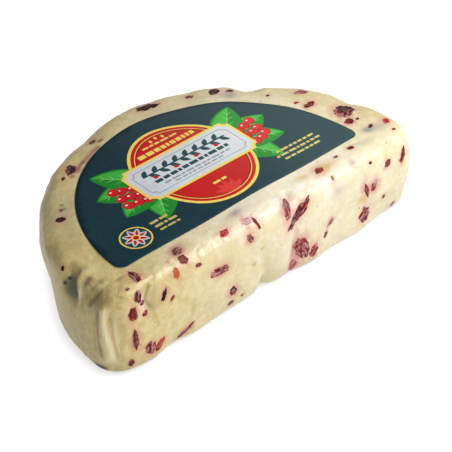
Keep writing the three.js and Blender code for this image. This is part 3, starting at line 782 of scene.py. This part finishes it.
berryLook = {
    "berry_dark": {"deep": (50, 7, 11), "flesh": (144, 28, 36), "pale": (242, 190, 180),
                   "ripest": (150, 60, 40), "share": 0.82, "wrinkle": 1.15},
    "berry_red": {"deep": (104, 6, 8), "flesh": (184, 36, 30), "pale": (244, 184, 160),
                  "ripest": (198, 98, 60), "share": 0.45, "wrinkle": 0.8},
    "berry_pale": {"deep": (104, 30, 38), "flesh": (186, 92, 96), "pale": (246, 216, 198),
                   "ripest": (232, 204, 204), "share": 0.72, "wrinkle": 1.5},
    "amber": {"deep": (140, 66, 30), "flesh": (196, 110, 54), "pale": (226, 190, 120),
              "ripest": (206, 150, 90), "share": 0.5},
}
# Berries whose depth of colour stands out: 0 is nearly black, 1 as bright as its kind usually gets. A pair
# runs from one end of the berry to the other. The rest are drawn between the two usual values.
ripeness = {
    "usual": (0.25, 0.75),
    "berry_01": 0.4, "berry_02": 0.35, "berry_03": 0.9, "berry_04": 0.95, "berry_06": 0.55, "berry_09": 0.1,
    "berry_10": 0.2, "berry_14": 1.12, "berry_15": 0.3, "berry_17": 0.2, "berry_19": 1.25, "berry_20": 0.6,
    "berry_21": -0.3, "berry_23": 0.2, "berry_24": 0.4, "berry_25": 0.15, "berry_26": 0.0, "berry_27": 0.6,
    "berry_28": 0.55, "berry_29": (-0.3, 0.75), "berry_30": 0.15, "berry_32": -0.15, "berry_33": 0.0,
    "berry_34": 0.1, "berry_35": -0.2,
}


# Dark skin over brighter flesh, with pale pulp in streaks that run along the berry.
def berryMaterial(slotName):
    look = berryLook[slotName]
    ink = {name: colour(*look[name]) for name in ("deep", "flesh", "pale", "ripest")}
    fixed = {"Coat Weight": 0.05, "Coat Roughness": 0.1, "Specular IOR Level": 0.12}
    material, shader, surface = newMaterial(slotName, fixed)
    grain = shader.attribute("grain", "Vector")
    ripe = shader.attribute("ripe")
    shade = shader.times(shader.math("SUBTRACT", ripe, 0.5), 0.36)
    blotch = shader.ramp(shader.plus(shader.noise(grain, 0.55, 3.0, 0.6), shade), 0.38, 0.6)
    tone = shader.mix(blotch, ink["deep"], ink["flesh"])
    lace = shader.threads(grain, 0.42, 0.05, 0.8)
    pulp = shader.ramp(shader.noise(grain, 0.75, 3.0, 0.6, 0.5), 0.57, 0.66)
    cover = shader.math("MAXIMUM", shader.times(lace, 0.7), pulp)
    hollows = shader.ramp(shader.attribute("hollow"), 0.7, 1.5)
    cover = shader.math("MAXIMUM", cover, shader.times(hollows, 0.7))
    share = shader.times(shader.plus(shader.times(ripe, 0.9), 0.25, True), look["share"])
    tone = shader.mix(shader.times(cover, share), tone, ink["pale"])
    tone = shader.mix(shader.times(shader.ramp(ripe, 0.95, 1.3), 0.85), tone, ink["ripest"])
    shader.feed(surface, "Base Color", tone)
    shader.feed(surface, "Roughness", shader.plus(0.26, shader.times(pulp, 0.2)))
    wrap(shader, surface, 0.25, 0.2, 0.00024, shader.times(shader.noise(grain, 1.4, 4.0, 0.65), 0.8))
    return material


berryMaterials = {slotName: berryMaterial(slotName) for slotName in berryLook}


def makeBerries():
    rng = np.random.default_rng(91)
    for number, node in enumerate(berryNodes):
        slotName, spot = slotOf[node], berrySpots[node]
        wrinkle, chipped = berryLook[slotName]["wrinkle"], chips.get(node)
        points, hollow, grain = fruitLump(spot, number, fruit, wrinkle, chipped)
        faces = [face[::-1] for face in closedFaces(fruit["rows"], fruit["around"])]
        piece = newPiece("fruit" + node[5:], placed(points), faces, [berryMaterials[slotName]])
        drawn = rng.uniform(*ripeness["usual"])
        first, last = np.broadcast_to(ripeness.get(node, drawn), 2)
        along = 0.5 + grain[:, 0] / fruit["grain"][0] / spot["length"]
        addAttributes(piece, hollow=hollow, grain=grain, ripe=first + (last - first) * along)
        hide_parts(node)


makeBerries()
print("cranberries done:", len(berryNodes))

# Small bits of fruit, as in the solid: place, length, turn in degrees and which of the tones.
crumbs = [
    (67, -60, 41.5, 2.4, 0, 0), (64.5, -49, 46.3, 4.6, -20, 1), (53.5, -49, 46.4, 2.4, 0, 2),
    (41, -58, 43.5, 2.6, 80, 3), (78, -62, 15.5, 3, 80, 0), (88, -60.5, 4.5, 3.6, 60, 0),
    (34.5, -62, 13.5, 3.8, 70, 2), (-51, -60.5, 40.5, 3.2, 0, 2), (-69.5, -62, 32, 3, 40, 3),
    (-31.5, -61, 6, 4.2, 8, 0), (-24, -61, 6.5, 2.2, 0, 3), (-90.5, -55, 45, 2.6, 0, 2),
    (-87.5, -59, 42, 6.5, 62, 0), (-86.5, -61, 38.5, 3.6, 0, 0), (-86, -62, 32.5, 3.6, 20, 0),
    (-95, -60.5, 6.5, 5, 84, 2), (83, 5, 46.4, 7, -30, 2), (74, -0.5, 46.6, 3, 0, 1),
    (67.5, 15, 46.6, 2.4, 0, 0), (56, 33, 46.4, 4, -30, 0), (87.5, -42, 46.3, 4, 15, 0),
    (94.5, -52, 45.5, 2.2, 0, 0), (87, -33, 46.3, 2.4, 0, 1), (36, 43.5, 46.4, 5, -20, 2),
    (-28, 47.5, 46.4, 4.4, 10, 2), (-60, 31, 46.4, 3.2, 40, 0), (-77, 11, 46.4, 3, 60, 0),
    (-101.5, -20.5, 43, 2.2, 0, 0),
]
# More on the far sides, where sides are shares of the half turn round the rim.
farCrumbs = {"count": 22, "seed": 77, "sides": (0.02, 0.75), "heights": (6, 41), "length": (2.2, 4.4),
             "spacing": 3}
crumbLook = {"width": 0.62, "longer": 1.1, "around": 20, "rows": 9, "seed": 300, "ripe": (0.0, 0.5),
             "tones": ["berry_dark", "berry_red", "berry_pale", "amber"]}


# Places on the rim drawn as the solid draws them: a multiplying generator, and none too near another.
def scatterCrumbs():
    state = farCrumbs["seed"]

    def draw(low=0.0, high=1.0):
        nonlocal state
        state = state * 16807 % 2147483647
        return low + (high - low) * state / 2147483647

    found = []
    while len(found) < farCrumbs["count"]:
        angle = math.pi * draw(*farCrumbs["sides"])
        z = draw(*farCrumbs["heights"])
        length = draw(*farCrumbs["length"])
        turn = 180 * draw()
        across = wheel["depth"] - wheel["corner"]
        y = -wheel["depth"] / 2 + wheel["corner"] + across * math.sin(angle)
        spot = axesAt((wheel["width"] / 2 * math.cos(angle), y, z), turn) | {"length": length}
        others = found + list(berrySpots.values())
        apart = [np.linalg.norm(o["at"] - spot["at"]) - (o["length"] + length) / 2 for o in others]
        if min(apart) > farCrumbs["spacing"]:
            found.append(spot | {"tone": len(found) % 3})
    return found


def makeCrumbs():
    lumps, faces, tones, start = [], [], [], 0
    rng = np.random.default_rng(44)
    found = []
    for x, y, z, length, turn, tone in crumbs:
        found.append(axesAt((x, y, z), turn) | {"length": length, "tone": tone})
    found += scatterCrumbs()
    for number, spot in enumerate(found):
        spot["width"] = spot["length"] * crumbLook["width"]
        spot["length"] *= crumbLook["longer"]
        lump = fruitLump(spot, number, crumbLook)
        count = len(lump[0])
        lumps.append((*lump, np.full(count, rng.uniform(*crumbLook["ripe"]))))
        lumpFaces = closedFaces(crumbLook["rows"], crumbLook["around"], start)
        faces += [face[::-1] for face in lumpFaces]
        tones += [spot["tone"]] * len(lumpFaces)
        start += count
    points, hollow, grain, ripe = (np.concatenate(column) for column in zip(*lumps))
    materials = [berryMaterials[tone] for tone in crumbLook["tones"]]
    piece = newPiece("fruitCrumbs", placed(points), faces, materials)
    piece.data.polygons.foreach_set("material_index", tones)
    addAttributes(piece, hollow=hollow, grain=grain, ripe=ripe)
    return found


crumbSpots = makeCrumbs()
print("small bits done:", len(crumbSpots))

# How strongly juice stains the cheese round a berry of each kind, and how far it spreads. Then the berries
# round which the cheese is pinker than most.
stains = {"berry_dark": 0.78, "berry_red": 0.75, "berry_pale": 0.85, "crumb": 0.5,
          "spread": 1.7, "soakedSpread": 2.7, "crumbSpread": 0.9, "depth": 5}
soaked = {"berry_02": 0.9, "berry_03": 0.95, "berry_04": 0.9, "berry_05": 1.0, "berry_07": 0.8,
          "berry_08": 0.85, "berry_29": 0.85}


# Juice in the cheese round a berry: strongest under it, fading past its edge, nearly gone at twice its size.
def juice(points, spot, strength, spread):
    away = points - spot["at"]
    u = away @ spot["long"] / (spot["length"] / 2 + spread)
    v = away @ spot["wide"] / (spot["width"] / 2 + spread)
    n = away @ spot["out"] / stains["depth"]
    return strength * np.exp(-(u ** 2 + v ** 2 + n ** 2) ** 1.3)


def makeCheese():
    faces = closedFaces(skinRows, skinColumns)
    piece = newPiece("wrappedCheese", placed(skinPoints), faces, [cheeseMaterial()])
    stain = np.zeros(len(skinPoints))
    for node, spot in berrySpots.items():
        strength = soaked.get(node, stains[slotOf[node]])
        spread = stains["soakedSpread" if node in soaked else "spread"]
        stain = np.maximum(stain, juice(skinPoints, spot, strength, spread))
    for spot in crumbSpots:
        stain = np.maximum(stain, juice(skinPoints, spot, stains["crumb"], stains["crumbSpread"]))
    # Marks, painted shade and painted highlights from the patches and strokes; the rind share also carries
    # painted shade, and the whitish share a painted sheen.
    smudge, smudgeColour = paintSmudges(skinPoints)
    addAttributes(piece, stain=stain, rind=rindShare(skinPoints), bloom=bloomShare(skinPoints),
                  pucker=puckerShare(skinPoints), smudge=smudge, smudgeColour=smudgeColour)
    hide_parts("cheese")


makeCheese()
print("cheese done:", len(skinPoints), "points")

# The label's inks. First comes its ground, and last the bare paper, which shows on the sheet's back and rim.
inks = {
    "ground": (17, 50, 59), "gold": (250, 206, 96), "red": (190, 14, 18), "redDeep": (150, 8, 14),
    "goldDull": (196, 176, 102), "white": (206, 210, 214), "teal": (26, 66, 78), "grey": (134, 150, 156),
    "redLight": (208, 52, 46), "leaf": (26, 132, 38), "leafLight": (64, 172, 62), "vein": (120, 200, 104),
    "berry": (206, 18, 30), "berryDeep": (150, 8, 22), "shine": (250, 200, 196), "paper": (206, 204, 184),
}
# The sheet's outline and grid, and where and in what tint a painted sheen lightens it towards the right.
sheet = {"around": {"straight": 60, "corner": 8, "round": 120}, "grid": 3.5,
         "fading": (-35, 70), "haze": (176, 196, 170)}
# Its print, in millimetres from the middle of the straight edge. The border's values are its half sizes, its
# line and its scoop. The vine's are its height, its reach, its step and its number of leaves.
emblem = {"middle": (0, 40), "half": (30, 34), "rim": 1.7, "inner": 0.94, "line": 0.45}
plaque = {"middle": (0, 42), "half": (35, 13.2), "scoop": 3.4, "rim": 1.5,
          "border": (32.2, 10.6, 0.45, 2.6), "vine": (4.6, 27, 3.4, 16)}
sprigs = {"from": (25, 42), "leaf": (32, 18), "angles": (-62, -26, 10, 46),
          "berries": 9, "berrySize": 3.1, "jitter": 0.6}
seal = {"middle": (-60.5, 13), "radius": 8.2, "petals": 8}
dashRows = [  # left end, height in the print, length, dash height
    (37, 17.4, 27, 1.5), (34.5, 13.9, 33, 1.5), (37, 10.4, 26, 1.5),
    (-49, 16.2, 13, 1.6), (-48.5, 12.8, 15, 1.6), (-48, 9.6, 12.5, 1.2),
]


def ellipse(x, y, halfWidth, halfHeight, count):
    angle = np.linspace(0, 2 * np.pi, count, endpoint=False)
    return np.stack([x + halfWidth * np.cos(angle), y + halfHeight * np.sin(angle)], axis=1)


def bar(x, y, halfWidth, halfHeight):
    return np.array([[x - halfWidth, y - halfHeight], [x + halfWidth, y - halfHeight],
                     [x + halfWidth, y + halfHeight], [x - halfWidth, y + halfHeight]], float)


def lozenge(x, y, halfWidth, halfHeight):
    return np.array([[x - halfWidth, y], [x, y - halfHeight], [x + halfWidth, y], [x, y + halfHeight]], float)


# A plate whose four corners are scooped out by quarter circles.
def scooped(x, y, halfWidth, halfHeight, scoop):
    turn = np.linspace(0, np.pi / 2, 9)
    bite = np.stack([scoop * np.cos(turn), scoop * np.sin(turn)], axis=1)
    corners = []
    for side, up, order in ((-1, -1, 1), (1, -1, -1), (1, 1, 1), (-1, 1, -1)):
        corners.append((np.array([side * halfWidth, up * halfHeight]) - bite * [side, up])[::-order])
    return np.concatenate(corners) + [x, y]


def turned(shape, x, y, degrees):
    a = math.radians(degrees)
    return shape @ np.array([[math.cos(a), math.sin(a)], [-math.sin(a), math.cos(a)]]) + [x, y]


# A leaf from its stalk at (x, y), as wide as a sine of the way along it. The sides say which halves to draw.
def leaf(x, y, length, width, degrees, sides=(1, 1)):
    along = np.linspace(0, 1, 14)
    side = width / 2 * np.sin(np.pi * along ** 0.85) ** 0.8
    there = np.stack([along * length, sides[0] * side], axis=1)
    back = np.stack([along * length, -sides[1] * side], axis=1)[-2:0:-1]
    return turned(np.concatenate([there, back]), x, y, degrees)


# A row of dashes of uneven length that fills the given length.
def dashes(ink, left, y, length, height, rng):
    made, x = [], left
    while x < left + length - 1.5:
        wide = min(rng.uniform(1.6, 5.2), left + length - x)
        made.append((ink, bar(x + wide / 2, y, wide / 2, height / 2)))
        x += wide + 0.9
    return made


# Leaves with veins and a bunch of berries, to one side of the emblem.
def sprigShapes(side):
    shapes = []
    sx, sy = side * sprigs["from"][0], sprigs["from"][1]
    length, width = sprigs["leaf"]
    lit = (1, 0) if side > 0 else (0, 1)
    for angle in sprigs["angles"]:
        turn = angle if side > 0 else 180 - angle
        shapes.append(("leaf", leaf(sx, sy, length, width, turn)))
        shapes.append(("leafLight", leaf(sx, sy, length * 0.97, width * 0.86, turn, lit)))
        shapes.append(("vein", leaf(sx, sy, length * 0.92, 0.7, turn)))
        for step in (0.42, 0.6, 0.76):
            root = turned(np.array([[length * step, 0.0]]), sx, sy, turn)[0]
            for way in (38, -38):
                shapes.append(("vein", leaf(*root, width * 0.42 * (1.25 - step), 0.4, turn + way)))
    rng = np.random.default_rng(7 if side > 0 else 8)
    size, jitter = sprigs["berrySize"], sprigs["jitter"]
    for number in range(sprigs["berries"]):
        row, column = divmod(number, 3)
        bx = sx + side * (12 + column * size * 1.5 + rng.uniform(-jitter, jitter))
        by = sy - 9 + row * size * 2.1 + (column - 1) * size * 0.5 + rng.uniform(-jitter, jitter)
        shapes.append(("berryDeep", ellipse(bx, by, size, size, 24)))
        shapes.append(("berry", ellipse(bx - 0.15, by + 0.2, size * 0.85, size * 0.85, 24)))
        shapes.append(("shine", ellipse(bx - 0.9, by + 1.0, 0.85, 0.6, 12)))
    return shapes


# A red oval with a gold edge and a fine gold line, rows of dashes, three lozenges and a spray of leaves.
def emblemShapes():
    (x, y), (w, h), rim, inner, line = emblem.values()
    shapes = [("gold", ellipse(x, y, w + rim, h + rim, 96)), ("red", ellipse(x, y, w, h, 96))]
    for ink, lines in (("gold", 0), ("redDeep", 1), ("red", 3)):
        shapes.append((ink, ellipse(x, y, w * inner - lines * line, h * inner - lines * line, 90)))
    rng = np.random.default_rng(5)
    for low, length, height in ((20.6, 37, 3.0), (25.4, 24, 1.3), (-20.4, 9, 1.6)):
        shapes += dashes("gold", x - length / 2, y + low, length, height, rng)
    for angle in (-60, -30, 0, 30, 60):
        shapes.append(("redLight", leaf(x, y - 31, 9.5, 3.4, 90 + angle)))
    for step in (-1, 0, 1):
        shapes.append(("gold", lozenge(x + 4 * step, y + 29.3 - abs(step), 1.0, 1.5)))
    return shapes


# The white plate: gold edge, fine inner line, a running vine of small leaves, and rows of short dashes.
def plaqueShapes():
    (x, y), (w, h), scoop, rim, border, vine = plaque.values()
    innerW, innerH, line, innerScoop = border
    high, reach, step, leaves = vine
    shapes = [("gold", scooped(x, y, w + rim, h + rim, scoop)), ("white", scooped(x, y, w, h, scoop)),
              ("grey", scooped(x, y, innerW, innerH, innerScoop)),
              ("white", scooped(x, y, innerW - line, innerH - line, innerScoop))]
    shapes.append(("teal", bar(x, y + high, reach + 0.5, 0.55)))
    for number in range(leaves):
        at = x - reach + step * number
        up = 1 if number % 2 == 0 else -1
        shapes.append(("teal", leaf(at, y + high, 6.0, 2.9, 48 * up)))
        if number % 4 == 1:
            shapes.append(("red", ellipse(at + 1.4, y + high + 3.6 * up, 1.3, 1.3, 14)))
    rng = np.random.default_rng(21)
    for ink, low, length, height in (("teal", -2.4, 50, 2.4), ("grey", -6.0, 44, 1.2), ("grey", -8.2, 34, 1)):
        shapes += dashes(ink, x - length / 2, y + low, length, height, rng)
    return shapes


# A rosette: gold rim, petals in white and red on blue-green, and a red button.
def sealShapes():
    (x, y), radius, petals = seal.values()
    shapes = [("gold", ellipse(x, y, radius, radius, 48)),
              ("teal", ellipse(x, y, radius - 0.8, radius - 0.8, 48))]
    for petal in range(petals):
        turn = 360 / petals * petal
        shapes.append(("white", leaf(x, y, radius - 1.4, 3.4, turn)))
        shapes.append(("red", leaf(x, y, radius - 2.2, 1.7, turn)))
    shapes.append(("gold", ellipse(x, y, 2.2, 2.2, 20)))
    shapes.append(("red", ellipse(x, y, 1.5, 1.5, 20)))
    return shapes


def labelPrint():
    shapes = sprigShapes(-1) + sprigShapes(1) + emblemShapes() + plaqueShapes() + sealShapes()
    rng = np.random.default_rng(12)
    for row in dashRows:
        shapes += dashes("goldDull", *row, rng)
    return shapes


# Whether each point lies inside an outline: a line from it crosses the outline an odd number of times.
def insideOutline(points, outline):
    low, high = outline.min(axis=0), outline.max(axis=0)
    inside = np.all((points >= low) & (points <= high), axis=1)
    x, y = points[inside, :1], points[inside, 1:]
    ax, ay = outline[:, 0][None], outline[:, 1][None]
    bx, by = np.roll(outline[:, 0], -1)[None], np.roll(outline[:, 1], -1)[None]
    rise = np.where(by == ay, 1e-12, by - ay)
    crosses = ((ay > y) != (by > y)) & (x < ax + (y - ay) * (bx - ax) / rise)
    inside[inside] = crosses.sum(axis=1) % 2 == 1
    return inside


def brighter(ink, factor, lift):
    return tuple(min(1.0, value * factor + lift) for value in ink[:3]) + (1.0,)


# Ink on woven-looking paper under film. It mottles a little, and carries a painted sheen of the film, lighter
# and hazier towards the right.
def inkMaterial(name):
    fixed = {"Coat Weight": 0.03, "Coat Roughness": 0.2, "Specular IOR Level": 0.1}
    material, shader, surface = newMaterial("ink_" + name, fixed)
    place = shader.place()
    woven = {"Vector": place, "Scale": 300.0, "Distortion": 1.0, "Detail": 1.0}
    weave = shader.node("ShaderNodeTexWave", woven, bands_direction="DIAGONAL").outputs["Fac"]
    ink = colour(*inks[name])
    cloudy = shader.ramp(shader.noise(place, 38.0, 3.0), 0.35, 0.7)
    mottle = shader.ramp(shader.noise(place, 420.0, 3.0, 0.6), 0.35, 0.7)
    shade = shader.plus(shader.times(cloudy, 0.5), shader.times(mottle, 0.3))
    shade = shader.plus(shade, shader.times(weave, 0.16))
    tone = shader.mix(shade, ink, brighter(ink, 1.3, 0.006))
    # Painted sheen of the film: the ink lighter and hazier towards the right.
    fade = shader.attribute("fade")
    tone = shader.mix(shader.times(fade, 0.75), tone, brighter(ink, 1.6, 0.012))
    tone = shader.mix(shader.times(fade, 0.08), tone, colour(*sheet["haze"]))
    shader.feed(surface, "Base Color", tone)
    shader.feed(surface, "Roughness", shader.plus(0.42, shader.times(cloudy, 0.12)))
    wrap(shader, surface, 0.12, 0.08, 0.00014, shader.times(weave, 0.08))
    return material


# The paper is cut into triangles along every printed outline, each triangle takes the ink it lies in,
# and the sheet is then draped over the top of the wheel.
def makeLabel():
    x, y, _, _ = halfDisc(paper["width"] / 2, paper["depth"], paper["corner"], sheet["around"])
    edge = np.stack([x, y], axis=1)
    shapes = labelPrint()
    outlines = [edge] + [shape for _, shape in shapes]
    gridX, gridY = np.meshgrid(np.arange(-79, 80, sheet["grid"]), np.arange(1.5, 86, sheet["grid"]))
    grid = np.stack([gridX.ravel(), gridY.ravel()], axis=1)
    grid = grid[insideOutline(grid * 1.02 - [0, 0.4], edge) & insideOutline(grid, edge)]
    points = np.concatenate(outlines + [grid])
    edges, start = [], 0
    for outline in outlines:
        count = len(outline)
        edges += [(start + i, start + (i + 1) % count) for i in range(count)]
        start += count
    cut = delaunay_2d_cdt([Vector(point) for point in points], edges, [], 0, 1e-5, False)
    flat, faces = np.array([tuple(corner) for corner in cut[0]]), [list(face) for face in cut[2]]
    middles = np.array([flat[face].mean(axis=0) for face in faces])
    names = list(inks)
    inkOf = np.zeros(len(faces), int)
    for name, outline in shapes:
        inkOf[insideOutline(middles, outline)] = names.index(name)
    top = np.column_stack([flat + np.array(paper["shift"]), np.full(len(flat), float(wheel["height"]))])
    top[:, 2] += relief(top) + paper["gap"] + paper["thickness"]
    piece = newPiece("paperLabel", placed(top), faces, [inkMaterial(name) for name in names])
    piece.data.polygons.foreach_set("material_index", inkOf.tolist())
    addAttributes(piece, fade=smoothStep(*sheet["fading"], flat[:, 0]))
    solid = piece.modifiers.new("thickness", "SOLIDIFY")
    solid.thickness, solid.offset = paper["thickness"] * mm, -1
    solid.material_offset, solid.material_offset_rim = len(names), len(names)
    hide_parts("label")
    return len(faces)


print("label done:", makeLabel(), "faces")

studio = {
    "floor": (170, 170, 172), "floorGlow": 0.99, "floorBounce": 0.16, "floorMirror": 0.5, "air": 0.25,
    "contact": 0.008, "contactShade": 0.55,  # how far the shadow round the foot reaches, and its depth
    "floorReach": 3.0, "floorDrop": 0.0004, "aim": (0, -0.03, 0.02),
    "key": {"at": (0.22, -0.23, 0.39), "size": 0.24, "power": 1.5},
    "fill": {"at": (-0.16, -0.9, 0.45), "size": 0.5, "power": 2.5},
    "back": {"at": (0.42, 0.34, 0.32), "size": 0.4, "power": 0.2},
}


# The floor's glow is weaker for the light it throws back on the object than for the eye.
def makeStudio():
    white = (1, 1, 1, 1)
    material, shader, surface = newMaterial("floor", {
        "Roughness": 0.9, "Base Color": colour(*studio["floor"]), "Emission Color": white})
    ray = shader.node("ShaderNodeLightPath")
    occlusion = shader.node("ShaderNodeAmbientOcclusion", {"Distance": studio["contact"]}, samples=8)
    shade = shader.times(shader.rest(occlusion.outputs["AO"]), studio["contactShade"])
    seen = shader.times(shader.rest(shade, True), studio["floorGlow"])
    lost = shader.plus(shader.times(ray.outputs["Is Diffuse Ray"], 1 - studio["floorBounce"]),
                       shader.times(ray.outputs["Is Glossy Ray"], 1 - studio["floorMirror"]))
    shader.feed(surface, "Emission Strength", shader.times(seen, shader.rest(lost, True)))
    mesh = bpy.data.meshes.new("floor")
    reach = studio["floorReach"]
    corners = [(-reach, -reach, 0), (reach, -reach, 0), (reach, reach, 0), (-reach, reach, 0)]
    mesh.from_pydata(corners, [], [(0, 1, 2, 3)])
    mesh.materials.append(material)
    floor = bpy.data.objects.new("floor", mesh)
    floor.location.z = cadLow.z - studio["floorDrop"]
    bpy.context.scene.collection.objects.link(floor)
    world = bpy.data.worlds.new("studio")
    bpy.context.scene.world = world
    world.use_nodes = True
    background = world.node_tree.nodes["Background"]
    background.inputs["Color"].default_value = white
    background.inputs["Strength"].default_value = studio["air"]
    for name in ("key", "fill", "back"):
        light = bpy.data.lights.new(name, "AREA")
        light.energy, light.size = studio[name]["power"], studio[name]["size"]
        lamp = bpy.data.objects.new(name, light)
        lamp.location = studio[name]["at"]
        lamp.rotation_euler = (Vector(studio["aim"]) - lamp.location).to_track_quat("-Z", "Y").to_euler()
        bpy.context.scene.collection.objects.link(lamp)
    bpy.context.scene.view_settings.view_transform = "Standard"


def makeCamera():
    azimuth, elevation = math.radians(cameraPlace["azimuth"]), math.radians(cameraPlace["elevation"])
    level = math.cos(elevation)
    back = Vector((math.sin(azimuth) * level, -math.cos(azimuth) * level, math.sin(elevation)))
    target = (Vector(cameraPlace["lookAt"]) + Vector(moved)) * mm
    camera = bpy.data.objects.new("camera", bpy.data.cameras.new("camera"))
    camera.data.lens, camera.data.sensor_width = cameraPlace["lens"], cameraPlace["sensor"]
    camera.location = target + back * cameraPlace["distance"] * mm
    camera.rotation_euler = (-back).to_track_quat("-Z", "Y").to_euler()
    bpy.context.scene.collection.objects.link(camera)
    bpy.context.scene.camera = camera


makeStudio()
makeCamera()
print("studio and camera done")
